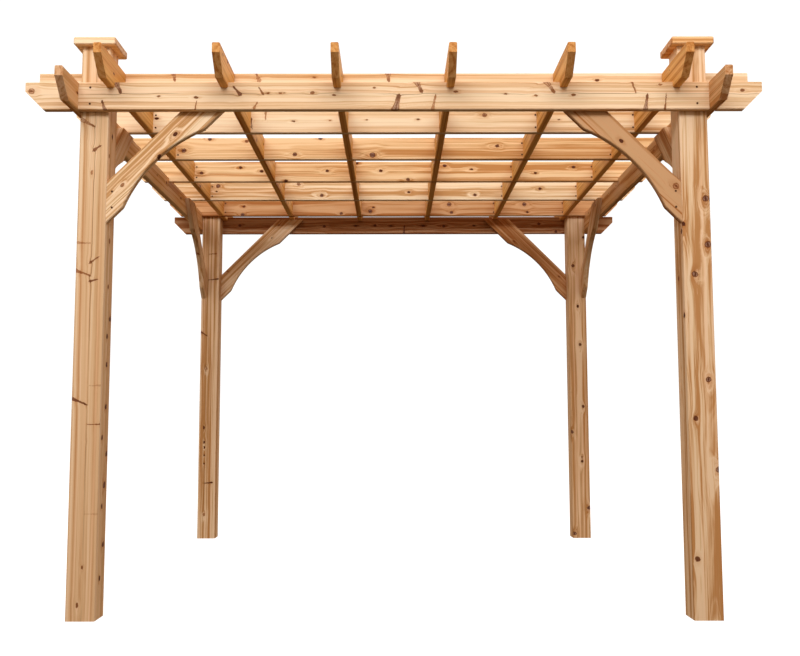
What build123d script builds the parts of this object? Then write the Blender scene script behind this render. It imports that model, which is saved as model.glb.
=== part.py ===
"""Free-standing timber pergola.

Four square posts carry two pairs of header boards that cross outside the posts'
corners. Six rafters and six cross slats are notched over the headers and
half-lapped into each other as one open grid, and two knee braces with a
hollowed lower edge stiffen each post.

X runs left to right, Y from front to back and Z up from the feet.
The origin is on the ground in the middle of the plan. Sizes are in millimetres.
"""

from build123d import *
import os
from math import sqrt

os.makedirs("parts", exist_ok=True)

# Plan, over the outer faces of the posts
PLAN_X = 3110
PLAN_Y = 3110
OVERHANG = 262

# Posts and their caps
POST = 140
POST_HEIGHT = 2802
POST_EASE = 6
CAP = 210
CAP_THICK = 38
CAP_EASE = 9

# Header boards, one pair on each two opposite faces of the posts
HEADER_DROP = 197
HEADER_DEPTH = 140
HEADER_THICK = 38

# Roof grid
RAFTER_COUNT = 6
SLAT_COUNT = 6
GRID_DEPTH = 140
GRID_THICK = 38
SEAT_NOTCH = 29

# Saw cuts and edges that all the boards share
END_FLAT = 48
BOARD_EASE = 4
LAP_GAP = 0.5

# Knee braces at 45 degrees; the hollow lies between two straight ends of the lower edge
BRACE_DROP = 558
BRACE_DEPTH = 146
BRACE_THICK = 38
BRACE_EASE = 4
STRAIGHT_FOOT = 113
STRAIGHT_HEAD = 278
HOLLOW_RISE = 56
HOLLOW_BLEND = 40

# Heights and places that follow
UP = Vector(0, 0, 1)
HEADER_BOTTOM = POST_HEIGHT - HEADER_DROP - HEADER_DEPTH
BRACE_TOE = HEADER_BOTTOM - BRACE_DROP
GRID_BOTTOM = HEADER_BOTTOM + HEADER_DEPTH - SEAT_NOTCH
INNER_X = PLAN_X / 2 - POST
INNER_Y = PLAN_Y / 2 - POST
HEADER_X = (PLAN_X + HEADER_THICK) / 2
HEADER_Y = (PLAN_Y + HEADER_THICK) / 2


def spread(reach, count):
    """Centres of count boards, the outermost two against the posts' inner faces."""
    first = -reach + GRID_THICK / 2
    step = -2 * first / (count - 1)
    return [first + step * i for i in range(count)]


RAFTERS_X = spread(INNER_X, RAFTER_COUNT)
SLATS_Y = spread(INNER_Y, SLAT_COUNT)


def across(y, z):
    """Plane of a board that runs left to right: its x is the length, its y is up."""
    return Plane(origin=(0, y, z), x_dir=(1, 0, 0), z_dir=(0, -1, 0))


def along(x, z):
    """Plane of a board that runs front to back: its x is the length, its y is up."""
    return Plane(origin=(x, 0, z), x_dir=(0, 1, 0), z_dir=(1, 0, 0))


def save(part, name):
    part.label = name
    export_step(part, f"parts/{name}.step")


def make_board(name, side, length, depth, thick, under=(), over=()):
    """One planed board with clipped ends.

    side is the board's own plane, at the middle of its lower edge. under and over
    list the notches in the lower and the upper edge, as (place, width, height).
    """
    start = side.origin + side.x_dir * (-length / 2) + side.y_dir * (depth / 2)
    clip = depth - END_FLAT
    with BuildPart() as board:
        with BuildSketch(Plane(origin=start, x_dir=side.z_dir, z_dir=side.x_dir)) as section:
            Rectangle(thick, depth)
            chamfer(section.vertices(), BOARD_EASE)
        extrude(amount=length)
        with BuildSketch(side):
            for end in (-1, 1):
                tip = end * length / 2
                Polygon((tip, 0), (tip - end * clip, 0), (tip, clip), align=None)
            for place, width, height in under:
                with Locations((place, height / 2)):
                    Rectangle(width + 2 * LAP_GAP, height)
            for place, width, height in over:
                with Locations((place, depth - height / 2)):
                    Rectangle(width + 2 * LAP_GAP, height)
        extrude(amount=thick, both=True, mode=Mode.SUBTRACT)
    save(board.part, name)


def make_post(name, x, y):
    """A square post with eased corners, standing on the ground."""
    with BuildPart() as post:
        with BuildSketch(Plane((x, y, 0))) as section:
            Rectangle(POST, POST)
            fillet(section.vertices(), POST_EASE)
        extrude(amount=POST_HEIGHT)
    save(post.part, name)


def make_cap(name, x, y):
    """A flat square cap board on the post's top, well rounded over on its upper edges."""
    with BuildPart() as cap:
        with BuildSketch(Plane((x, y, POST_HEIGHT))) as section:
            Rectangle(CAP, CAP)
            fillet(section.vertices(), CAP_EASE)
        extrude(amount=CAP_THICK)
        fillet(cap.faces().sort_by(Axis.Z)[-1].edges(), CAP_EASE)
        chamfer(cap.faces().sort_by(Axis.Z)[0].edges(), BOARD_EASE)
    save(cap.part, name)


def make_brace(name, foot, inward):
    """A knee brace from the post's face up to the underside of the roof grid.

    foot is the point on the ground below its contact with the post, in the middle
    of its thickness, and inward is the level direction in which it rises.
    """
    side = Plane(origin=foot, x_dir=inward, z_dir=inward.cross(UP))
    reach = GRID_BOTTOM - BRACE_TOE
    cut = BRACE_DEPTH * sqrt(2)
    near = STRAIGHT_FOOT / sqrt(2)
    far = reach - STRAIGHT_HEAD / sqrt(2)
    middle = (near + far) / 2
    lift = HOLLOW_RISE / sqrt(2)
    with BuildPart() as brace:
        with BuildSketch(side) as profile:
            with BuildLine():
                toe = Line((0, BRACE_TOE), (near, BRACE_TOE + near))
                hollow = ThreePointArc(
                    toe @ 1,
                    (middle - lift, BRACE_TOE + middle + lift),
                    (far, BRACE_TOE + far),
                )
                Polyline(
                    hollow @ 1,
                    (reach, GRID_BOTTOM),
                    (reach - cut, GRID_BOTTOM),
                    (0, BRACE_TOE + cut),
                    toe @ 0,
                )
            make_face()
            ends = (hollow @ 0, hollow @ 1)
            fillet([v for v in profile.vertices() if Vector(v) in ends], HOLLOW_BLEND)
        extrude(amount=BRACE_THICK / 2, both=True)
        outline = brace.faces().filter_by(Axis(foot, side.z_dir)).edges()
        sloped = outline.filter_by(lambda edge: 0.3 < abs(edge.tangent_at(0.5).dot(UP)) < 0.95)
        chamfer(sloped, BRACE_EASE)
    save(brace.part, name)


# Posts, caps and braces, corner by corner
for end, y_side in (("front", -1), ("back", 1)):
    for hand, x_side in (("left", -1), ("right", 1)):
        corner = f"{end}_{hand}"
        post_x = x_side * (PLAN_X - POST) / 2
        post_y = y_side * (PLAN_Y - POST) / 2
        make_post(f"post_{corner}", post_x, post_y)
        make_cap(f"cap_{corner}", post_x, post_y)

        flush_y = y_side * (PLAN_Y - BRACE_THICK) / 2
        flush_x = x_side * (PLAN_X - BRACE_THICK) / 2
        make_brace(f"brace_across_{corner}", Vector(x_side * INNER_X, flush_y), Vector(-x_side, 0))
        make_brace(f"brace_along_{corner}", Vector(flush_x, y_side * INNER_Y), Vector(0, -y_side))

# Header boards, cross-lapped at half their depth where they meet outside the corners
half_header = HEADER_DEPTH / 2
laps_x = [(x, HEADER_THICK, half_header) for x in (-HEADER_X, HEADER_X)]
laps_y = [(y, HEADER_THICK, half_header) for y in (-HEADER_Y, HEADER_Y)]
for name, y in (("header_front", -HEADER_Y), ("header_back", HEADER_Y)):
    make_board(
        name,
        across(y, HEADER_BOTTOM),
        PLAN_X + 2 * OVERHANG,
        HEADER_DEPTH,
        HEADER_THICK,
        under=laps_x,
    )
for name, x in (("header_left", -HEADER_X), ("header_right", HEADER_X)):
    make_board(
        name,
        along(x, HEADER_BOTTOM),
        PLAN_Y + 2 * OVERHANG,
        HEADER_DEPTH,
        HEADER_THICK,
        over=laps_y,
    )

# Roof grid: the slats are notched from above and the rafters drop over them
half_grid = GRID_DEPTH / 2
seats_x = [(x, HEADER_THICK, SEAT_NOTCH) for x in (-HEADER_X, HEADER_X)]
seats_y = [(y, HEADER_THICK, SEAT_NOTCH) for y in (-HEADER_Y, HEADER_Y)]
for number, y in enumerate(SLATS_Y, 1):
    make_board(
        f"slat_{number}",
        across(y, GRID_BOTTOM),
        PLAN_X + 2 * OVERHANG,
        GRID_DEPTH,
        GRID_THICK,
        under=seats_x,
        over=[(x, GRID_THICK, half_grid) for x in RAFTERS_X],
    )
for number, x in enumerate(RAFTERS_X, 1):
    make_board(
        f"rafter_{number}",
        along(x, GRID_BOTTOM),
        PLAN_Y + 2 * OVERHANG,
        GRID_DEPTH,
        GRID_THICK,
        under=seats_y + [(y, GRID_THICK, half_grid) for y in SLATS_Y],
    )
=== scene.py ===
"""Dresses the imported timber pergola: solid-wood finishes, screws, studio stage and camera.

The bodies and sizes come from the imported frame. Lengths are in metres, except inside a
timber's own finish, where s runs along the grain, p across it and q out of its face, all
in millimetres from the timber's middle (from its foot, on a post or a brace).
"""

import math
import random

import bmesh
import bpy
from bpy.props import FloatProperty, FloatVectorProperty, PointerProperty
from mathutils import Matrix, Vector


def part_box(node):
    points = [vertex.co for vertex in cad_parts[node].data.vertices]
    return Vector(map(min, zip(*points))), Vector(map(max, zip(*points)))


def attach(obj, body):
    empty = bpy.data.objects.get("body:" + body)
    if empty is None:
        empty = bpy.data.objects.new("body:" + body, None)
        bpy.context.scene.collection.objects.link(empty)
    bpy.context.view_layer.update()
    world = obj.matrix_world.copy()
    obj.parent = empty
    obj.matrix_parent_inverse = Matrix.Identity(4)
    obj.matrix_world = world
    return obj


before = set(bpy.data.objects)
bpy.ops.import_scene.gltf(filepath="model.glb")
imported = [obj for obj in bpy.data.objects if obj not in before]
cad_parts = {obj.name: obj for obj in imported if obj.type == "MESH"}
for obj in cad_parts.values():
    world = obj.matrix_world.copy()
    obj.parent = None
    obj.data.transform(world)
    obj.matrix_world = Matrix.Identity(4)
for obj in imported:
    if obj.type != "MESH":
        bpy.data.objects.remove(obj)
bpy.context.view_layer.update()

bl_info = {
    "name": "Timber Pergola",
    "version": (1, 0, 0),
    "blender": (4, 5, 0),
    "location": "3D View > Sidebar > Pergola",
    "description": "Finishes, fixings and studio stage for a knee-braced timber pergola",
    "category": "Object",
}

MM = 0.001
ACROSS, ALONG, UP = Vector((1, 0, 0)), Vector((0, 1, 0)), Vector((0, 0, 1))

# The pergola's ends and hands, and which way they lie along Y and X
ENDS = (("front", -1), ("back", 1))
HANDS = (("left", -1), ("right", 1))


def paint(red, green, blue):
    """A colour mixed on the 0 to 255 scale, as the shaders want it."""
    return tuple(
        c / 12.92 if c <= 0.04045 else ((c + 0.055) / 1.055) ** 2.4
        for c in (red / 255, green / 255, blue / 255)
    )


# Sizes and colours


class TimberProps(bpy.types.PropertyGroup):
    """Colours and grain of the timber."""

    honey: FloatVectorProperty(
        name="Honey",
        description="Front header, first slat and left front brace",
        subtype="COLOR",
        default=paint(231, 193, 149),
    )
    cream: FloatVectorProperty(
        name="Cream",
        description="Palest boards: three caps and two slats",
        subtype="COLOR",
        default=paint(230, 196, 153),
    )
    straw: FloatVectorProperty(
        name="Straw",
        description="Yellow boards: side headers, two slats and a cap",
        subtype="COLOR",
        default=paint(227, 182, 130),
    )
    amber: FloatVectorProperty(
        name="Amber",
        description="Orange boards: the rafters",
        subtype="COLOR",
        default=paint(220, 163, 92),
    )
    russet: FloatVectorProperty(
        name="Russet",
        description="Reddish boards: the last slat and two braces",
        subtype="COLOR",
        default=paint(194, 142, 95),
    )
    tan: FloatVectorProperty(
        name="Tan",
        description="Posts and most knee braces",
        subtype="COLOR",
        default=paint(219, 179, 136),
    )
    # Umber is painted shade: the back header's wood is like the rest, and this darker tone stands
    # for the shade it lies in under the roof's last slat
    umber_painted_shade: FloatVectorProperty(
        name="Umber",
        description="Darkest board: the back header",
        subtype="COLOR",
        default=paint(170, 122, 84),
    )
    knot_heart: FloatVectorProperty(
        name="Knot",
        description="Middle of a sound knot",
        subtype="COLOR",
        default=paint(141, 117, 105),
    )
    knot_bark: FloatVectorProperty(
        name="Knot edge",
        description="Dark bark ring round a knot",
        subtype="COLOR",
        default=paint(78, 36, 16),
    )
    ring_width: FloatProperty(
        name="Growth ring",
        description="Width of one growth ring, in millimetres",
        default=3.2,
        min=1,
        max=10,
    )
    band_width: FloatProperty(
        name="Grain band",
        description="Width of a lighter or darker band of rings, in millimetres",
        default=16,
        min=4,
        max=60,
    )


class ScrewProps(bpy.types.PropertyGroup):
    """Countersunk screws."""

    head: FloatProperty(
        name="Head",
        description="Diameter of a screw's head",
        default=0.011,
        unit="LENGTH",
    )
    proud: FloatProperty(
        name="Proud",
        description="How far a head stands out of the wood",
        default=0.0009,
        unit="LENGTH",
    )
    steel: FloatVectorProperty(
        name="Steel",
        description="Dark coating of the screws",
        subtype="COLOR",
        default=paint(78, 44, 24),
    )


class StageProps(bpy.types.PropertyGroup):
    """Studio floor and light."""

    floor: FloatVectorProperty(
        name="Floor",
        description="Colour of the studio floor",
        subtype="COLOR",
        default=(0.35, 0.36, 0.38),
    )
    floor_glow: FloatProperty(
        name="Floor glow",
        description="How much of the floor's paleness doesn't depend on the light",
        default=0.93,
        min=0,
        max=1,
    )
    reach: FloatProperty(
        name="Floor radius",
        description="Radius of the round studio floor",
        default=40,
        unit="LENGTH",
    )
    sky: FloatVectorProperty(
        name="Room light",
        description="Even light from above and around",
        subtype="COLOR",
        default=(0.75, 0.62, 0.5),
    )
    ground: FloatVectorProperty(
        name="Light from below",
        description="Warm light that comes up from under the floor",
        subtype="COLOR",
        default=(0.12, 0.078, 0.042),
    )
    key: FloatProperty(
        name="Front softbox",
        description="Power of the large softbox in front, in watts",
        default=625,
        subtype="POWER",
    )
    back: FloatProperty(
        name="Back softbox",
        description="Power of the weaker softbox behind, in watts",
        default=190,
        subtype="POWER",
    )


class CameraProps(bpy.types.PropertyGroup):
    """Where the photographer stood, and how the view is framed."""

    stand: FloatVectorProperty(
        name="Stand",
        description="Place of the camera",
        subtype="TRANSLATION",
        default=(-0.0053, -6.0528, 0.9673),
    )
    aim: FloatVectorProperty(
        name="Aim",
        description="Tilt up, roll and turn of the camera",
        subtype="EULER",
        default=(0.0946, -0.0013, 0.0008),
    )
    lens: FloatProperty(
        name="Lens",
        description="Focal length for a 36 mm wide sensor, in millimetres",
        default=41.885,
    )
    shift: FloatVectorProperty(
        name="Shift",
        description="Sideways and upward shift of the frame, in widths",
        size=2,
        default=(0.00774, -0.00154),
    )


# Shader sums


class Wire:
    """A shader socket that can be used in sums."""

    def __init__(self, finish, socket):
        self.finish, self.socket = finish, socket

    def sum(self, operation, *parts):
        """One Math or Vector Math node on these parts, whichever they need.

        Input 3 of a Vector Math node is its number, and output 1 its length or product.
        """
        single = [
            p.socket.type == "VALUE" if isinstance(p, Wire) else isinstance(p, (int, float))
            for p in parts
        ]
        if all(single):
            kind, sockets = "ShaderNodeMath", dict(enumerate(parts))
        elif operation == "MULTIPLY" and any(single):
            kind, operation = "ShaderNodeVectorMath", "SCALE"
            sockets = {3: parts[single.index(True)], 0: parts[single.index(False)]}
        else:
            kind = "ShaderNodeVectorMath"
            parts = [(p,) * 3 if isinstance(p, (int, float)) else p for p in parts]
            sockets = dict(enumerate(parts))
        is_number = operation in ("LENGTH", "DOT_PRODUCT")
        return self.finish.node(kind, {"operation": operation}, sockets, 1 if is_number else 0)

    def __add__(self, other):
        return self.sum("ADD", self, other)

    def __radd__(self, other):
        return self.sum("ADD", other, self)

    def __sub__(self, other):
        return self.sum("SUBTRACT", self, other)

    def __rsub__(self, other):
        return self.sum("SUBTRACT", other, self)

    def __mul__(self, other):
        return self.sum("MULTIPLY", self, other)

    def __rmul__(self, other):
        return self.sum("MULTIPLY", other, self)

    def __truediv__(self, other):
        return self.sum("DIVIDE", self, other)

    def __rtruediv__(self, other):
        return self.sum("DIVIDE", other, self)

    def __pow__(self, power):
        return self.sum("POWER", self, power)

    def __abs__(self):
        return self.sum("ABSOLUTE", self)

    def least(self, other):
        return self.sum("MINIMUM", self, other)

    def most(self, other):
        return self.sum("MAXIMUM", self, other)

    def dot(self, other):
        return self.sum("DOT_PRODUCT", self, other)

    def cross(self, other):
        return self.sum("CROSS_PRODUCT", self, other)

    def length(self):
        return self.sum("LENGTH", self)

    def beside(self, index):
        """Another output of the same node."""
        return Wire(self.finish, self.socket.node.outputs[index])

    def part(self, index):
        """The x, y or z of a vector, by its number."""
        return self.finish.node("ShaderNodeSeparateXYZ", {}, {0: self}, index)

    def rise(self, start, end):
        """0 at start and 1 at end, with a soft change between them."""
        settings = {"interpolation_type": "SMOOTHSTEP"}
        return self.finish.node("ShaderNodeMapRange", settings, {0: self, 1: start, 2: end})


class Finish:
    """The nodes of one material, of the room's light or of a group that materials share.

    own is its own spot in the noise, so that no two timbers are alike.
    """

    def __init__(self, tree, own=(0, 0, 0)):
        self.tree, self.own = tree, Vector(own)
        tree.nodes.clear()

    def node(self, kind, settings=None, sockets=None, output=0):
        """Adds a node: its settings first, then its sockets' values or links."""
        made = self.tree.nodes.new(kind)
        for name, value in (settings or {}).items():
            setattr(made, name, value)
        for name, value in (sockets or {}).items():
            if isinstance(value, Wire):
                self.tree.links.new(value.socket, made.inputs[name])
            else:
                made.inputs[name].default_value = value
        return Wire(self, made.outputs[output]) if made.outputs else made

    def combine(self, x, y, z):
        return self.node("ShaderNodeCombineXYZ", {}, {0: x, 1: y, 2: z})

    def mix(self, one, other, share):
        """A colour that goes from one to other as share goes from 0 to 1.

        Inputs 6 and 7 and output 2 of a Mix node are its colours.
        """
        ends = [c if isinstance(c, Wire) else (*c, 1) for c in (one, other)]
        sockets = {0: share, 6: ends[0], 7: ends[1]}
        return self.node("ShaderNodeMix", {"data_type": "RGBA"}, sockets, 2)

    def noise(self, place, detail=2.0, rough=0.5, output="Fac"):
        """Soft random waves of about one unit, from 0 to 1."""
        sockets = {"Vector": place, "Scale": 1.0, "Detail": detail, "Roughness": rough}
        return self.node("ShaderNodeTexNoise", {}, sockets, output)

    def waves(self, place, sizes, detail=2.0, rough=0.5, output="Fac"):
        """Noise at this finish's own spot, whose waves have these lengths along x, y and z."""
        spot = place * tuple(1 / size for size in sizes) + tuple(self.own)
        return self.noise(spot, detail, rough, output)

    def shader(self, colour, rough, normal=None, **even):
        """The surface: what changes over it, and the values that are even all over it."""
        sockets = {"Base Color": colour, "Roughness": rough, **even}
        if normal:
            sockets["Normal"] = normal
        surface = self.node("ShaderNodeBsdfPrincipled", {}, sockets)
        self.node("ShaderNodeOutputMaterial", {}, {"Surface": surface})


def new_finish(name, own=(0, 0, 0)):
    """A new material, and the finish that its nodes are added to."""
    material = bpy.data.materials.new(name)
    material.use_nodes = True
    return material, Finish(material.node_tree, own)


def tinted(colour, shares):
    """A colour with its red, green and blue each changed by a share."""
    return tuple(c * share for c, share in zip(colour, shares))


# Timber

# Branches, in millimetres. One starts BRANCH_DEPTH under its face or, where the pith is
# further off than FAR_PITH, PITH_SHARE of the way back to it, and leans up on its way out
BRANCH_DEPTH = 60
FAR_PITH = 40
PITH_SHARE = 0.75
LEAN_UP = 0.25

# Knots, by their radius in millimetres. The heart is pale from the first of PALE_HEARTED up
# and dark below the second. A knot is round from ROUND_FROM up, and a smaller one is an
# oval along the grain, no slimmer than SLIMMEST. The grain swerves round a longer oval
PALE_HEARTED = (13, 8)
ROUND_FROM = 12
SLIMMEST = 0.5
GRAIN_EYE = (0.35, 1, 1)

# Tails of a knot that is cut across and of one that is sawn along its length, how much the
# wood darkens round each, and how strongly the rim of the second shows
LONG_TAILS, SHORT_TAILS = (0.17, 1.7, 1.7), (3, 3, 3)
WIDE_HALO, SLIGHT_HALO = 0.6, 0.15
SAWN_RIM = 0.8


def timber_frame(node):
    """Where a timber's own measures start, in metres, and its s, p and q directions."""
    low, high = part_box(node)
    middle = (low + high) / 2
    kind, *rest = node.split("_")
    if kind == "post":
        return Vector((middle.x, middle.y, low.z)), UP, ACROSS
    if kind == "brace":
        x_side = 1 if "right" in rest else -1
        y_side = 1 if "back" in rest else -1
        if "across" in rest:
            foot = high.x if x_side > 0 else low.x
            start, inward = Vector((foot, middle.y, low.z)), -x_side * ACROSS
        else:
            foot = high.y if y_side > 0 else low.y
            start, inward = Vector((middle.x, foot, low.z)), -y_side * ALONG
        return start, (inward + UP).normalized(), (UP - inward).normalized()
    if kind == "rafter" or node in ("header_left", "header_right"):
        return middle, ALONG, UP
    return middle, ACROSS, ALONG if kind == "cap" else UP


def knot_group():
    """One knot as a cone of wood that starts on the pith, shared by every timber.

    Oval and Tails weigh the distance from the knot's axis along s, p and q: the first for
    its outline, the second for the points that its bark draws out. Dark is how strongly its
    heart, its bark ring and the darker wood round it show. Marks are how much of these three
    there is here, and Push is how far the grain is turned aside. Both are handed from one
    knot to the next, so that the last has them all.
    """
    group = bpy.data.node_groups.new("knot", "ShaderNodeTree")
    face = group.interface
    inputs = ("Here", "Start", "Way", "Length", "Radius", "Oval", "Tails", "Dark", "Marks", "Push")
    for name in inputs:
        kind = "NodeSocketFloat" if name in ("Length", "Radius") else "NodeSocketVector"
        face.new_socket(name, in_out="INPUT", socket_type=kind)
    for name in ("Marks", "Push"):
        face.new_socket(name, in_out="OUTPUT", socket_type="NodeSocketVector")
    knot = Finish(group)
    given = group.nodes.new("NodeGroupInput")
    here, start, way, length, radius, oval, tails, dark, marks, push = (
        Wire(knot, given.outputs[name]) for name in inputs
    )

    # The place from the knot's start: how far out along its axis, and how far aside
    out = here - start
    risen = out.dot(way)
    aside = way.cross(out.cross(way))
    grown = risen / length

    # The cone's radius here. It ends at the pith and a little outside the face
    narrowest, widest, fade = 0.5, 1.1, 0.1
    size = radius * grown.most(narrowest).least(widest)
    past = (0 - risen).most(risen - length * widest).most(0) * fade

    # Distances from the axis as shares of that radius: in the oval, the tails and the grain
    away = (aside * oval).length() / size + past
    thin = abs(aside).dot(tails) / size + past
    eye = (aside * GRAIN_EYE).length() / size + past

    # The marks, each from where it begins to where it is full, in shares of the radius. A
    # small knot is dark right through, and so is one that is cut near the pith
    heart = away.rise(1.1, 0.75)
    inside = away.rise(0.6, 0.95).most(radius.rise(*PALE_HEARTED)).most(grown.rise(0.6, 0.1))
    bark = (inside * away.rise(1.25, 0.85)).most(thin.rise(1.2, 0.2))
    halo = eye.rise(2.4, 0.6)
    marks = marks.most(knot.combine(heart, bark, halo) * dark)

    # The grain swerves round the knot and leans out with it, less and less further off
    swerve, lean, near, fall = 1.2, 3, 0.4, -1.3
    bulge = way * (size * lean * dark.part(2))
    push = push + (aside * swerve + bulge) * (eye * eye * near + 1) ** fall
    knot.node("NodeGroupOutput", {}, {0: marks, 1: push})
    return group


class Knot:
    """A knot that comes to a point of a face, in the timber's own millimetres.

    out is the way out of that face, and dark is how strongly the knot shows. A knot with a
    start of its own is sawn along its length.
    """

    def __init__(self, place, out, radius, dark=1.0, start=None):
        self.place, self.out, self.radius = Vector(place), Vector(out), radius
        self.start = Vector(start) if start else None
        rim, halo = (SAWN_RIM, SLIGHT_HALO) if start else (1, WIDE_HALO)
        self.dark = (dark, dark * rim, dark * halo)
        self.oval = (1 if start else min(1, max(SLIMMEST, radius / ROUND_FROM)), 1, 1)
        self.tails = SHORT_TAILS if start else LONG_TAILS

    def line(self, pith):
        """Start, direction and length: branches grow from the pith and lean up a little."""
        start = self.start
        if start is None:
            level = self.out * BRANCH_DEPTH
            if pith and (self.place.yz - Vector(pith)).length > FAR_PITH:
                level = Vector((0, *(self.place.yz - Vector(pith)))) * PITH_SHARE
            start = self.place - level - Vector((level.length * LEAN_UP, 0, 0))
        way = self.place - start
        return start, way.normalized(), way.length


def on_face(face, *rows):
    """Knots on the face at q = face: (s, p, radius) or (s, p, radius, dark)."""
    out = (0, 0, math.copysign(1, face))
    return [Knot((s, p, face), out, *shape) for s, p, *shape in rows]


def on_side(side, *rows):
    """Knots on the face at p = side: (s, q, radius) or (s, q, radius, dark)."""
    out = (0, math.copysign(1, side), 0)
    return [Knot((s, side, q), out, *shape) for s, q, *shape in rows]


def spikes(face, *rows):
    """Knots sawn along their length: (s, p) at the pith, (s, p) at the edge, radius, dark."""
    return [
        Knot((s, p, face), (0, 0, 0), *shape, start=(pith_s, pith_p, face))
        for pith_s, pith_p, s, p, *shape in rows
    ]


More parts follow.
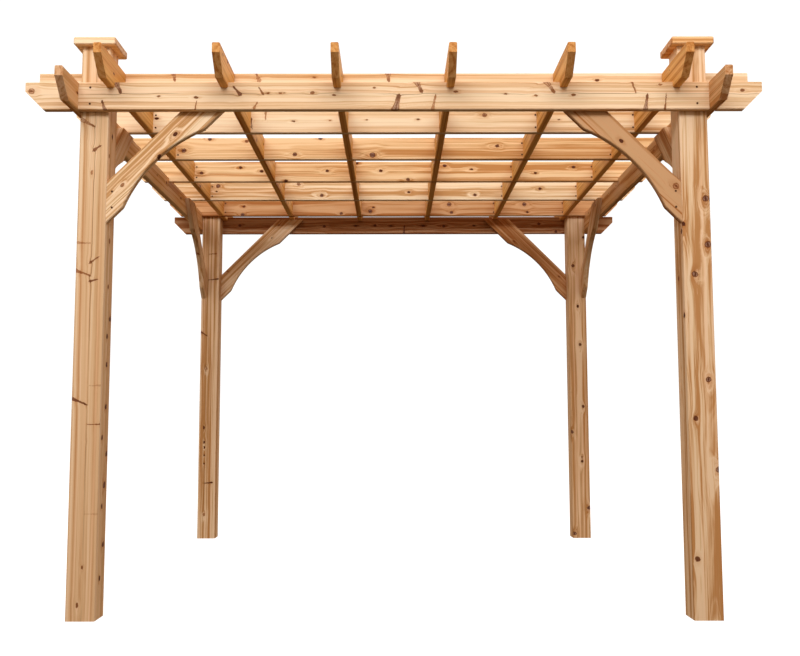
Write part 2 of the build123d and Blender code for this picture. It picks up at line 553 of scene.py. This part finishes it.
# Each timber's tone, its pith across the grain (p, q), how far the grain wanders in
# millimetres, and the knots that its photographed faces show. figure is how strongly the
# grain shows, run how long its waves are, coarse how wide its bands and streaks are, and
# shade how light the wood is. Timbers that aren't here get a pith, a wander and knots from
# a seeded draw, and their tone from DRAWN.
BOARD_FACE, POST_FACE = 19, -70
TIMBERS = {
    "header_front": dict(
        tone="honey",
        pith=(9, 17),
        wander=3,
        knots=on_face(
            BOARD_FACE,
            (-1787, 24, 14, 0.75),
            (-1160, -2, 5, 0.7),
            (-975, -8, 6, 0.75),
            (-620, 13, 4, 0.65),
            (-560, 13, 4, 0.65),
            (-540, 13, 3, 0.6),
            (-402, 16, 7, 0.65),
            (-295, 3, 5, 0.7),
            (-97, 40, 4, 0.65),
            (305, 20, 6, 0.7),
            (550, 8, 4, 0.65),
            (700, 0, 5, 0.65),
            (885, 2, 6, 0.7),
            (1315, 55, 5, 0.5),
            (1718, 25, 7, 0.7),
        )
        + spikes(
            BOARD_FACE,
            (-1347, 18, -1372, 74, 16, 0.85),
            (-1437, -26, -1422, -74, 11, 0.85),
            (-972, -30, -980, -74, 5, 0.7),
            (-790, 44, -760, 10, 9, 0.85),
            (-666, 42, -648, 14, 6, 0.75),
            (-674, -36, -687, -60, 6, 0.6),
            (24, 0, 6, -78, 22, 0.85),
            (137, 20, 112, 74, 17, 0.8),
            (205, -2, 190, -74, 10, 0.6),
            (790, 16, 752, 74, 16, 0.75),
            (1193, 16, 1174, 74, 8, 0.7),
            (1250, 2, 1238, -78, 13, 0.85),
            (1343, 2, 1335, -74, 6, 0.75),
        ),
    ),
    "slat_1": dict(
        tone="honey",
        shade=1.05,
        figure=0.8,
        pith=(-20, -50),
        wander=4,
        knots=on_face(BOARD_FACE, (-410, 48, 5, 0.6), (1043, 32, 7, 0.8))
        + spikes(
            BOARD_FACE,
            (-1125, 34, -1132, 76, 14, 0.75),
            (-706, 68, -692, 34, 11, 0.7),
            (-26, 30, -31, 76, 17, 0.75),
        ),
    ),
    "slat_2": dict(
        tone="cream",
        figure=0.8,
        pith=(-6, -26),
        wander=4,
        knots=on_face(
            BOARD_FACE,
            (-1358, 15, 7),
            (-575, -2, 5, 0.8),
            (-365, 2, 4, 0.6),
            (-155, 5, 4, 0.6),
            (140, 8, 5, 0.8),
            (520, 32, 11, 0.8),
            (945, 5, 4, 0.8),
        )
        + spikes(BOARD_FACE, (-735, 12, -733, 52, 8, 0.6), (-812, -42, -816, 6, 5, 0.9)),
    ),
    "slat_3": dict(
        tone="straw",
        figure=1.2,
        pith=(10, -40),
        wander=6,
        knots=on_face(
            BOARD_FACE,
            (-1328, -12, 13),
            (-1165, 62, 10),
            (-930, 48, 10, 0.8),
            (-625, -38, 11),
            (-465, 66, 9),
            (-135, -42, 16),
            (655, 16, 10),
            (1410, 60, 8),
        ),
    ),
    "slat_4": dict(
        tone="straw",
        figure=1.6,
        pith=(20, -35),
        wander=4,
        knots=on_face(
            BOARD_FACE,
            (-1330, -10, 10),
            (-1060, 28, 8),
            (-915, 3, 9),
            (-745, -66, 9),
            (-460, 5, 9),
            (-255, 60, 8, 0.8),
            (-90, 5, 9),
            (98, -56, 10),
            (352, 40, 9),
            (540, 15, 7),
            (980, -12, 8),
            (1245, 30, 9),
        ),
    ),
    "slat_5": dict(
        tone="cream",
        figure=1.4,
        pith=(-15, -60),
        wander=6,
        knots=on_face(
            BOARD_FACE,
            (-1320, 38, 14),
            (-1330, -4, 5),
            (-715, 52, 13, 0.8),
            (-540, -34, 12),
            (115, -10, 8),
            (612, -32, 10),
            (1100, 15, 9),
        ),
    ),
    "slat_6": dict(
        tone="russet",
        figure=1.3,
        pith=(0, -50),
        wander=8,
        knots=on_face(
            BOARD_FACE,
            (-1215, 8, 9, 0.8),
            (-1225, -60, 14),
            (-425, -50, 11),
            (-190, -32, 15),
            (-165, 0, 6),
            (450, 25, 16, 0.9),
            (470, -42, 11),
            (1060, 24, 15),
            (1085, -40, 7),
        ),
    ),
    # The back header's umber tone is painted shade, for the shade under the roof's last slat
    "header_back": dict(
        tone="umber_painted_shade",
        figure=2.4,
        run=0.4,
        pith=(-5, 10),
        wander=8,
        knots=on_face(
            BOARD_FACE,
            (-1275, 0, 10),
            (-965, -5, 8),
            (-870, 0, 7),
            (-575, -8, 10),
            (-315, -5, 7),
            (-155, 0, 8),
            (-25, -5, 7),
            (245, -5, 9),
            (415, -8, 10),
            (665, -3, 7),
            (1205, 10, 10),
            (1345, -55, 9),
        )
        + spikes(BOARD_FACE, (90, -5, 85, -72, 9)),
    ),
    "post_front_left": dict(
        tone="tan",
        shade=1.03,
        figure=0.7,
        pith=(6, -68),
        wander=2,
        knots=on_face(POST_FACE, (75, -14, 7, 0.7), (250, 5, 5, 0.7), (2160, -5, 6, 0.4))
        + spikes(
            POST_FACE,
            (500, 10, 500, 65, 5, 0.2),
            (925, 10, 925, 66, 4, 0.75),
            (1020, 2, 1048, -68, 9, 0.85),
            (1110, 14, 1112, 60, 5, 0.25),
            (1626, 32, 1620, 6, 7, 0.8),
            (1647, 0, 1672, -68, 9, 0.7),
            (1738, 38, 1714, 4, 6, 0.75),
            (1807, 0, 1810, -58, 6, 0.4),
            (2294, 34, 2274, 6, 9, 0.8),
            (2394, 0, 2430, -68, 12, 0.75),
        )
        + on_side(
            70,
            (190, -10, 9),
            (345, 30, 10),
            (530, -5, 8),
            (630, 25, 14),
            (780, 45, 10),
            (860, -30, 10),
            (1010, 15, 9),
            (1215, 10, 9),
            (1355, 5, 9),
            (1445, 44, 10),
            (1600, 0, 8, 0.6),
            (1830, 0, 9, 0.6),
            (2250, -40, 7, 0.6),
            (2360, 0, 7),
        ),
    ),
    "post_front_right": dict(
        tone="tan",
        shade=1.02,
        figure=1.7,
        run=0.5,
        coarse=1.7,
        pith=(35, 15),
        wander=12,
        knots=on_face(
            POST_FACE,
            (285, -46, 9, 0.85),
            (705, 68, 14, 0.9),
            (950, -34, 9, 0.85),
            (1135, 33, 12, 0.95),
            (1650, -15, 13, 0.9),
            (1797, 51, 15, 0.9),
            (2025, 48, 15, 0.9),
            (2020, 72, 6),
            (1900, -66, 7),
        )
        + on_side(-70, (1450, -55, 9), (1640, 15, 9, 0.7), (1865, -50, 9)),
    ),
    "post_back_left": dict(
        tone="tan",
        shade=0.98,
        figure=2.2,
        pith=(-22, -67),
        wander=3,
        knots=on_face(
            POST_FACE,
            (185, -18, 9, 0.6),
            (585, -24, 5),
            (650, -24, 5),
            (712, -24, 6),
            (755, -26, 7),
            (870, -30, 7),
            (1340, -20, 12, 0.5),
        )
        + spikes(
            POST_FACE,
            (432, -20, 436, 36, 7),
            (1605, -18, 1632, -62, 8, 0.85),
            (2058, -12, 2066, 56, 6),
            (2270, -10, 2274, 40, 6, 0.6),
        ),
    ),
    "post_back_right": dict(
        tone="tan",
        shade=1.02,
        figure=1.3,
        pith=(5, 5),
        wander=6,
        knots=on_face(
            POST_FACE,
            (35, -58, 13),
            (235, 58, 13),
            (600, 12, 9),
            (632, 12, 7, 0.6),
            (832, -64, 12),
            (1035, 28, 10),
            (1530, 14, 10),
            (1840, 2, 9),
            (2170, -30, 11),
            (2405, 60, 10),
        ),
    ),
    "brace_across_front_left": dict(
        tone="honey",
        figure=1.8,
        coarse=0.7,
        pith=(90, 60),
        wander=2,
        knots=on_face(BOARD_FACE, (188, 80, 8, 0.6), (550, 80, 9), (416, 56, 8)),
    ),
    "brace_across_front_right": dict(
        tone="russet",
        shade=0.96,
        figure=1.9,
        coarse=0.8,
        pith=(70, -60),
        wander=5,
        knots=on_face(-BOARD_FACE, (146, 110, 15, 0.7), (494, 84, 9)),
    ),
    "brace_across_back_left": dict(
        tone="tan",
        shade=0.95,
        figure=1.5,
        pith=(60, -50),
        wander=4,
        knots=on_face(-BOARD_FACE, (783, 109, 10), (665, 73, 10), (214, 130, 9)),
    ),
    "brace_across_back_right": dict(
        tone="russet",
        shade=1.02,
        figure=1.3,
        pith=(60, 60),
        wander=4,
        knots=on_face(BOARD_FACE, (652, 45, 10), (184, 95, 10)),
    ),
    "cap_front_left": dict(tone="cream", shade=1.06, pith=(-30, 60), wander=4, knots=[]),
    "cap_front_right": dict(tone="straw", shade=1.12, figure=0.9, pith=(20, 50), wander=4, knots=[]),
}
DRAWN = {
    "header": dict(tone="straw"),
    "rafter": dict(tone="amber", shade=1.1, figure=0.9),
    "slat": dict(tone="amber"),
    "cap": dict(tone="cream"),
    "brace": dict(tone="tan"),
    "post": dict(tone="tan"),
}


# Between what a timber's own values are drawn, in millimetres: its spot in the noise, its
# pith across and under its face, its wander, the place of its first knot, the steps between
# knots, their height, radius and darkness, and how far from its end the last may stand
NOISE_SPOT = (-40, 40)
PITH_ACROSS, PITH_UNDER, WANDER = (-40, 40), (20, 70), (4, 10)
FIRST_KNOT, KNOT_STEP, LAST_KNOT = (40, 300), (120, 520), 30
KNOT_HEIGHT, KNOT_RADIUS, KNOT_DARK = (-60, 60), (4, 11), (0.6, 1)


def drawn_timber(node, draw):
    """Pith, wander and knots for a timber whose faces the photo doesn't show."""
    low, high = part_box(node)
    size = (high - low) / MM
    length = size.length if "brace" in node else abs(size.dot(timber_frame(node)[1]))
    first = -length / 2 if "brace" not in node and "post" not in node else 0
    pith = (draw.uniform(*PITH_ACROSS), draw.choice((-1, 1)) * draw.uniform(*PITH_UNDER))
    knots = []
    place = first + draw.uniform(*FIRST_KNOT)
    while place < first + length - LAST_KNOT:
        shape = [draw.uniform(*ends) for ends in (KNOT_HEIGHT, KNOT_RADIUS, KNOT_DARK)]
        knots += on_face(BOARD_FACE, (place, *shape))
        place += draw.uniform(*KNOT_STEP)
    return dict(pith=pith, wander=draw.uniform(*WANDER), knots=knots)


# What becomes of a tone's red, green and blue: where the rings are palest and deepest, in
# rosier and greener zones, in sawn ends, round a knot, in it and at its rim
PALE, DEEP = (1.12, 1.24, 1.42), (0.68, 0.5, 0.32)
ROSIER, GREENER = (1.05, 0.96, 0.93), (0.95, 1.03, 1.03)
END_GRAIN = (0.8, 0.7, 0.68)
ROUND_KNOT = (0.8, 0.66, 0.55)
IN_KNOT = (0.78, 0.61, 0.5)
KNOT_RIM = (0.62, 0.45, 0.34)

# How strongly a knot's heart pales and its cracks show, and the least of its bark
HEART_PALES, CRACKS_SHOW, LEAST_BARK = 0.7, 0.5, 0.4

# The wood's layers: the lengths of their waves along s, p and q in millimetres, how long the
# bands and lines of the rings run along s, and how much each layer changes the shade
BEND, WIGGLE = (1100, 150, 150), (500, 1, 1)
STREAKS, FIBRES, ZONES = (1600, 8, 8), (45, 0.9, 0.9), (3000, 22, 22)
PITH_WAVES, ROUGH_WAVES = (350, 1, 1), (300, 5, 5)
SHAKES, MOTTLES = (12.5, 12.5, 12.5), (12.5, 4, 4)
BAND_RUN, LINE_RUN = 2500, 1500
BAND_SHOWS, LINE_SHOWS, STREAKS_SHOW, FIBRES_SHOW, ZONES_SHOW = 2.2, 0.7, 1.2, 0.3, 1.8

# How far the rings bend, as a share of a timber's wander, and how far the pith wiggles and
# the knots' outlines shake, in millimetres
BEND_REACH, WIGGLE_REACH, SHAKE_REACH = 4, 6, 8

# The dark line of the pith: where it begins and is full, in millimetres from the middle, how
# much darker than the deepest rings it is, and how strongly it shows
PITH_EDGE, PITH_SHADE, PITH_SHOWS = (2.4, 0.8), 0.55, 0.85

# The planed surface: its roughness, how much fibres roughen and knots smooth it, its
# smoothest, its relief with the depth in metres, and how little it shines
ROUGHNESS, FIBRES_ROUGHEN, KNOTS_SMOOTH, SMOOTHEST = 0.72, 0.25, 0.15, 0.35
RELIEF = {"Strength": 0.35, "Distance": 0.0008}
DULL = {"Specular IOR Level": 0.08}


def longer(sizes, run, coarse=1.0):
    """The lengths of a layer's waves, drawn out along the grain and across it."""
    s, p, q = sizes
    return s * run, p * coarse, q * coarse


def knot_marks(grain, wood, here, knot_tree, pith):
    """A chain of knot groups: the marks that the knots leave, and how they push the grain."""
    sway = grain.waves(here, SHAKES, 1.0, 0.5, "Color") - 0.5
    shaky = here + sway * SHAKE_REACH
    marks = push = grain.combine(0, 0, 0)
    for knot in wood["knots"]:
        origin, way, length = knot.line(pith)
        sockets = {
            "Here": shaky,
            "Start": origin,
            "Way": way,
            "Length": length,
            "Radius": knot.radius,
            "Oval": knot.oval,
            "Tails": knot.tails,
            "Dark": knot.dark,
            "Marks": marks,
            "Push": push,
        }
        marks = grain.node("ShaderNodeGroup", {"node_tree": knot_tree}, sockets)
        push = marks.beside(1)
    return marks, push


def clear_wood(grain, wood, here, flow, looks):
    """The colour of the wood between its knots, and its fibres.

    Growth rings go by the distance from the pith, which wanders along the timber.
    """
    run, coarse, own = wood.get("run", 1.0), wood.get("coarse", 1.0), grain.own
    along, across = (1, 0, 0), (0, 1, 1)
    bend = (grain.waves(flow, longer(BEND, run), 1.5) - 0.5) * (wood["wander"] * BEND_REACH)
    wiggle = grain.waves(here * along, longer(WIGGLE, run), 2.0, 0.6, "Color") - 0.5
    level = flow * across - (0, *wood["pith"]) + wiggle * (0, WIGGLE_REACH, WIGGLE_REACH)
    radius = level.length() + bend
    s_place = flow.part(0)
    band_place = grain.combine(
        radius / (looks.band_width * coarse) + own.x, s_place / (BAND_RUN * run), own.y
    )
    line_place = grain.combine(
        radius / looks.ring_width + own.y, s_place / (LINE_RUN * run), own.z
    )
    fibre = grain.waves(here, FIBRES, 2.0, 0.6)
    zone = grain.waves(flow, longer(ZONES, run), 2.0, 0.5, "Color")
    dark = (
        (grain.noise(band_place, 2.0, 0.6) - 0.5) * BAND_SHOWS
        + (grain.noise(line_place, 1.0, 0.5) - 0.5) * LINE_SHOWS
        + (grain.waves(flow, longer(STREAKS, run, coarse), 3.0, 0.6) - 0.5) * STREAKS_SHOW
        + (fibre - 0.5) * FIBRES_SHOW
        + (zone.part(0) - 0.5) * ZONES_SHOW
    ) * wood.get("figure", 1.0) + 0.5

    tone = Vector(getattr(looks, wood["tone"])) * wood.get("shade", 1.0)
    deep = tinted(tone, DEEP)
    colour = grain.mix(tinted(tone, PALE), tone, dark.rise(0.15, 0.5))
    colour = grain.mix(colour, deep, dark.rise(0.45, 1.05))
    colour = grain.mix(colour * ROSIER, colour * GREENER, zone.part(1))
    core = (level * (0, 1, 0.15)).length().rise(*PITH_EDGE)
    core = core * grain.waves(here * along, PITH_WAVES, 1.0).rise(0.3, 0.65)
    return grain.mix(colour, Vector(deep) * PITH_SHADE, core * PITH_SHOWS), fibre


def mark_knots(grain, colour, marks, here, looks):
    """Darkens the wood round the knots, then their hearts, then their rims of bark."""
    heart, bark, halo = (marks.part(i) for i in range(3))
    mottle = grain.waves(here, MOTTLES, 2.0, 0.6)
    colour = grain.mix(colour, colour * ROUND_KNOT, halo)
    colour = grain.mix(colour, colour * IN_KNOT, heart)
    colour = grain.mix(colour, looks.knot_heart, heart.rise(0.66, 0.95) * HEART_PALES)
    colour = grain.mix(colour, colour * KNOT_RIM, bark.rise(0, 0.5))
    patchy = bark.rise(0.4, 1) * (mottle + LEAST_BARK).least(1)
    colour = grain.mix(colour, looks.knot_bark, patchy)
    cracks = heart * mottle.rise(0.5, 0.7) * CRACKS_SHOW
    return grain.mix(colour, looks.knot_bark, cracks), heart


def timber_finish(node, knot_tree, looks):
    """Solid wood that runs through one timber, cut open by its faces."""
    draw = random.Random(node)
    kind = node.split("_")[0]
    wood = {**DRAWN[kind], **(TIMBERS.get(node) or drawn_timber(node, draw))}
    start, s_way, p_way = timber_frame(node)
    turn = Matrix((s_way, p_way, s_way.cross(p_way))).transposed().to_euler()

    own = [draw.uniform(*NOISE_SPOT) for _ in range(3)]
    material, grain = new_finish(f"{node} timber", own)
    spot = grain.node("ShaderNodeTexCoord", {}, {}, "Object")
    here = grain.node(
        "ShaderNodeMapping",
        {"vector_type": "TEXTURE"},
        {"Vector": spot, "Location": start, "Rotation": turn, "Scale": (MM,) * 3},
    )
    pith = wood["pith"] if kind == "post" else None
    marks, push = knot_marks(grain, wood, here, knot_tree, pith)
    colour, fibre = clear_wood(grain, wood, here, here - push, looks)

    # End grain drinks the light: darker and redder where the saw cut across
    square = grain.node("ShaderNodeTexCoord", {}, {}, "Normal").dot(tuple(s_way))
    colour = grain.mix(colour, colour * END_GRAIN, abs(square).rise(0.4, 0.75))
    colour, heart = mark_knots(grain, colour, marks, here, looks)

    rough = ROUGHNESS + (fibre - 0.5) * FIBRES_ROUGHEN - heart * KNOTS_SMOOTH
    height = fibre + grain.waves(here, ROUGH_WAVES, 2.0)
    normal = grain.node("ShaderNodeBump", {}, {**RELIEF, "Height": height})
    grain.shader(colour, rough.most(SMOOTHEST), normal, **DULL)
    return material


def dress(kinds):
    """Gives every timber of these kinds its own finish."""
    looks = bpy.context.scene.pergola_timber
    knot_tree = bpy.data.node_groups.get("knot") or knot_group()
    chosen = [node for node in sorted(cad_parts) if node.split("_")[0] in kinds]
    if not chosen:
        raise RuntimeError(f"the frame has no timbers of the kinds {kinds}")
    for node in chosen:
        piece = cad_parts[node]
        material = timber_finish(node, knot_tree, looks)
        if not piece.material_slots:
            piece.data.materials.append(material)
        for slot in piece.material_slots:
            slot.material = material


# Screws

# A screw's head: its number of sides, how deep its foot is set into the wood in metres, its
# flat rim and the slope of its recess as shares of its diameter, and the recess's depth as a
# share of how far the head stands proud
HEAD_SIDES = 12
HEAD_SUNK = 0.002
HEAD_RIM = 0.1
RECESS_SLOPE = 0.16
RECESS_DEPTH = 0.7

# Places of the screws: along the headers from the middle and above their lower edge, on a
# brace in its own millimetres (s, p), on a slat above its lower edge and from a rafter's
# right or left side, and on a cap from its middle
HEADER_SCREWS_X = (-1.497, 1.495)
HEADER_SCREWS_Y = (-1.497, 1.497)
HEADER_SCREWS_Z = (0.030, 0.113)
BRACE_SCREWS = ((131, 92), (75, 35))
SLAT_SCREWS_Z = (0.030, 0.103)
RIGHT_OF_RAFTER, LEFT_OF_RAFTER = 0.014, -0.007
CAP_SCREWS = (-0.035, 0.035)

# The slats that have screws, and the rafters that these stand beside, with 1 or -1 for a
# rafter's right or left
SCREWED_SLATS = range(2, 7)
SCREWED_RAFTERS = ((1, 1), (2, -1), (5, -1), (6, -1))


def screw_heads(name, places):
    """One piece with a countersunk head at each (point, outward direction)."""
    props = bpy.context.scene.pergola_screws
    shape = bmesh.new()
    for point, way in places:
        before = set(shape.verts)
        rim = bmesh.ops.create_circle(
            shape, cap_ends=True, segments=HEAD_SIDES, radius=props.head / 2
        )
        disc = rim["verts"][0].link_faces[0]
        raised = bmesh.ops.extrude_face_region(shape, geom=[disc])["geom"]
        top = next(part for part in raised if isinstance(part, bmesh.types.BMFace))
        bmesh.ops.translate(shape, verts=top.verts, vec=(0, 0, HEAD_SUNK + props.proud))
        bmesh.ops.inset_region(shape, faces=[top], thickness=props.head * HEAD_RIM)
        bmesh.ops.inset_region(
            shape,
            faces=[top],
            thickness=props.head * RECESS_SLOPE,
            depth=-props.proud * RECESS_DEPTH,
        )
        turn = way.to_track_quat("Z", "Y").to_matrix().to_4x4()
        place = Matrix.Translation(point - way * HEAD_SUNK) @ turn
        fresh = [vert for vert in shape.verts if vert not in before]
        bmesh.ops.transform(shape, matrix=place, verts=fresh)
    bmesh.ops.recalc_face_normals(shape, faces=shape.faces)
    mesh = bpy.data.meshes.new(name)
    shape.to_mesh(mesh)
    shape.free()
    piece = bpy.data.objects.new(name, mesh)
    bpy.context.scene.collection.objects.link(piece)
    mesh.materials.append(steel_finish())
    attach(piece, "root")
    return piece


def steel_finish():
    """Dark coated steel, a little worn."""
    found = bpy.data.materials.get("screw steel")
    if found:
        return found
    material, steel = new_finish("screw steel")
    wear_per_metre, worn_bright, roughness, wear_roughens = 900, 2.2, 0.45, 0.3
    spot = steel.node("ShaderNodeTexCoord", {}, {}, "Object")
    wear = steel.noise(spot * wear_per_metre, 3.0, 0.6)
    dark = Vector(bpy.context.scene.pergola_screws.steel)
    colour = steel.mix(dark, dark * worn_bright, wear.rise(0.5, 0.75))
    even = {"Metallic": 0.15, "Specular IOR Level": 0.15}
    steel.shader(colour, roughness + wear * wear_roughens, None, **even)
    return material


# Steps


class PERGOLA_OT_posts(bpy.types.Operator):
    """Finish the four posts and their caps"""

    bl_idname = "pergola.posts"
    bl_label = "Finish posts and caps"

    def execute(self, context):
        dress(("post", "cap"))
        return {"FINISHED"}


class PERGOLA_OT_headers(bpy.types.Operator):
    """Finish the four header boards"""

    bl_idname = "pergola.headers"
    bl_label = "Finish headers"

    def execute(self, context):
        dress(("header",))
        return {"FINISHED"}


class PERGOLA_OT_braces(bpy.types.Operator):
    """Finish the eight knee braces"""

    bl_idname = "pergola.braces"
    bl_label = "Finish braces"

    def execute(self, context):
        dress(("brace",))
        return {"FINISHED"}


class PERGOLA_OT_grid(bpy.types.Operator):
    """Finish the rafters and slats of the roof grid"""

    bl_idname = "pergola.grid"
    bl_label = "Finish roof grid"

    def execute(self, context):
        dress(("rafter", "slat"))
        return {"FINISHED"}


class PERGOLA_OT_screws(bpy.types.Operator):
    """Drive the screws of headers, braces, slats and caps"""

    bl_idname = "pergola.screws"
    bl_label = "Drive screws"

    def execute(self, context):
        drive_header_screws()
        drive_brace_screws()
        drive_slat_screws()
        drive_cap_screws()
        return {"FINISHED"}


def drive_header_screws():
    """Two screws, one above the other, where a header crosses each post."""
    for sides, outward, lengthwise, spots in (
        (ENDS, ALONG, ACROSS, HEADER_SCREWS_X),
        (HANDS, ACROSS, ALONG, HEADER_SCREWS_Y),
    ):
        for name, side in sides:
            low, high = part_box(f"header_{name}")
            face = (low if side < 0 else high).dot(outward)
            places = [
                (outward * face + lengthwise * spot + UP * (low.z + z), side * outward)
                for spot in spots
                for z in HEADER_SCREWS_Z
            ]
            screw_heads(f"screws_header_{name}", places)


def drive_brace_screws():
    """Two screws through each brace, one above the other, near its foot."""
    for end, y_side in ENDS:
        for hand, x_side in HANDS:
            for run, outward in (("across", y_side * ALONG), ("along", x_side * ACROSS)):
                node = f"brace_{run}_{end}_{hand}"
                start, s_way, p_way = timber_frame(node)
                low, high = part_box(node)
                half = abs((high - low).dot(outward)) / 2
                places = [
                    (start + s_way * (s * MM) + p_way * (p * MM) + outward * half, outward)
                    for s, p in BRACE_SCREWS
                ]
                screw_heads(f"screws_{node}", places)


def drive_slat_screws():
    """Pairs of screws beside the rafters, on the front faces of all slats but the first."""
    for number in SCREWED_SLATS:
        low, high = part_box(f"slat_{number}")
        places = []
        for rafter, side in SCREWED_RAFTERS:
            left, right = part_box(f"rafter_{rafter}")
            x = right.x + RIGHT_OF_RAFTER if side > 0 else left.x + LEFT_OF_RAFTER
            places += [(Vector((x, low.y, low.z + z)), -ALONG) for z in SLAT_SCREWS_Z]
        screw_heads(f"screws_slat_{number}", places)


def drive_cap_screws():
    """Two screws down through each cap into its post, on the diagonal."""
    for end, y_side in ENDS:
        for hand, x_side in HANDS:
            low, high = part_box(f"cap_{end}_{hand}")
            middle = (low + high) / 2
            places = [
                (Vector((middle.x + d, middle.y + d * x_side * y_side, high.z)), UP)
                for d in CAP_SCREWS
            ]
            screw_heads(f"screws_cap_{end}_{hand}", places)


# The studio. Each softbox has a place and the point that it faces. The world's light
# changes from the one below to the one above between the two heights of HORIZON
FLOOR_SIDES = 96
FLOOR_DROP = 0.0005
HORIZON = (-0.12, -0.04)
BACKDROP_WHITE = 1.1
FRONT_SOFTBOX = ((-0.75, -9.0, 7.7), (0, 0, 6.5))
BACK_SOFTBOX = ((2.0, 9.0, 7.0), (0, 0, 2.0))
SOFTBOX_WIDE, SOFTBOX_HIGH = 13.0, 3.5
SOFTBOX_SPREAD = math.radians(120)
SOFTBOX_COLOUR = (0.97, 1.02, 1.12)
SENSOR_WIDTH = 36


class PERGOLA_OT_stage(bpy.types.Operator):
    """Lay the studio floor, hang the lights and set up the camera"""

    bl_idname = "pergola.stage"
    bl_label = "Set stage"

    def execute(self, context):
        scene = context.scene
        lay_floor(scene.pergola_stage)
        light_room(scene.pergola_stage)
        set_camera(scene.pergola_camera)
        scene.view_settings.view_transform = "Standard"
        return {"FINISHED"}


def lay_floor(props):
    """A wide round floor, just under the posts' feet."""
    shape = bmesh.new()
    bmesh.ops.create_circle(shape, cap_ends=True, segments=FLOOR_SIDES, radius=props.reach)
    mesh = bpy.data.meshes.new("studio_floor")
    shape.to_mesh(mesh)
    shape.free()
    floor = bpy.data.objects.new("studio_floor", mesh)
    bpy.context.scene.collection.objects.link(floor)
    floor.location.z = -FLOOR_DROP
    material, pale = new_finish("studio floor")
    even = {
        "Specular IOR Level": 0.0,
        "Emission Color": (1, 1, 1, 1),
        "Emission Strength": props.floor_glow,
    }
    pale.shader((*props.floor, 1), 0.9, None, **even)
    mesh.materials.append(material)
    floor.visible_diffuse = floor.visible_glossy = False


def light_room(props):
    """Even light from above, a little warm light from below and two large softboxes."""
    world = bpy.data.worlds.new("studio")
    world.use_nodes = True
    room = Finish(world.node_tree)
    height = room.node("ShaderNodeTexCoord", {}, {}, "Generated").part(2)
    glow = room.mix(props.ground, props.sky, height.rise(*HORIZON))
    seen = room.node("ShaderNodeLightPath", {}, {}, "Is Camera Ray")
    glow = room.mix(glow, (BACKDROP_WHITE,) * 3, seen)
    light = room.node("ShaderNodeBackground", {}, {"Color": glow, "Strength": 1.0})
    room.node("ShaderNodeOutputWorld", {}, {"Surface": light})
    bpy.context.scene.world = world

    hang_softbox("front softbox", props.key, *FRONT_SOFTBOX)
    hang_softbox("back softbox", props.back, *BACK_SOFTBOX)


def hang_softbox(name, power, place, target):
    """A wide soft light, which the camera doesn't see."""
    lamp = bpy.data.lights.new(name, "AREA")
    lamp.shape = "RECTANGLE"
    lamp.size, lamp.size_y = SOFTBOX_WIDE, SOFTBOX_HIGH
    lamp.spread, lamp.energy, lamp.color = SOFTBOX_SPREAD, power, SOFTBOX_COLOUR
    box = bpy.data.objects.new(name, lamp)
    bpy.context.scene.collection.objects.link(box)
    box.location = place
    box.rotation_euler = (Vector(target) - box.location).to_track_quat("-Z", "Y").to_euler()
    box.visible_camera = False


def set_camera(props):
    """The photographer's place, height and framing."""
    tilt, roll, turn = props.aim
    ahead = Vector(
        (math.sin(turn) * math.cos(tilt), math.cos(turn) * math.cos(tilt), math.sin(tilt))
    )
    right = Vector((math.cos(turn), -math.sin(turn), 0))
    over = right.cross(ahead)
    across = right * math.cos(roll) + over * math.sin(roll)
    upward = over * math.cos(roll) - right * math.sin(roll)
    data = bpy.data.cameras.new("camera")
    data.sensor_width, data.lens = SENSOR_WIDTH, props.lens
    data.shift_x, data.shift_y = props.shift
    camera = bpy.data.objects.new("camera", data)
    bpy.context.scene.collection.objects.link(camera)
    camera.location = props.stand
    camera.rotation_euler = Matrix((across, upward, -ahead)).transposed().to_euler()
    bpy.context.scene.camera = camera


class PERGOLA_PT_panel(bpy.types.Panel):
    """Sizes, colours and steps of the pergola"""

    bl_label = "Timber Pergola"
    bl_idname = "PERGOLA_PT_panel"
    bl_space_type = "VIEW_3D"
    bl_region_type = "UI"
    bl_category = "Pergola"

    def draw(self, context):
        layout = self.layout
        for step in STEPS:
            layout.operator(step.bl_idname)
        for name, kind in GROUPS.items():
            box = layout.box()
            for prop in kind.__annotations__:
                box.prop(getattr(context.scene, name), prop)


STEPS = (
    PERGOLA_OT_posts,
    PERGOLA_OT_headers,
    PERGOLA_OT_braces,
    PERGOLA_OT_grid,
    PERGOLA_OT_screws,
    PERGOLA_OT_stage,
)
GROUPS = {
    "pergola_timber": TimberProps,
    "pergola_screws": ScrewProps,
    "pergola_stage": StageProps,
    "pergola_camera": CameraProps,
}


def register():
    for kind in (*GROUPS.values(), *STEPS, PERGOLA_PT_panel):
        bpy.utils.register_class(kind)
    for name, kind in GROUPS.items():
        setattr(bpy.types.Scene, name, PointerProperty(type=kind))


def unregister():
    for name in GROUPS:
        delattr(bpy.types.Scene, name)
    for kind in (PERGOLA_PT_panel, *reversed(STEPS), *reversed(GROUPS.values())):
        bpy.utils.unregister_class(kind)


def main():
    register()
    for step in STEPS:
        group, name = step.bl_idname.split(".")
        getattr(getattr(bpy.ops, group), name)()


if __name__ == "__main__":
    main()
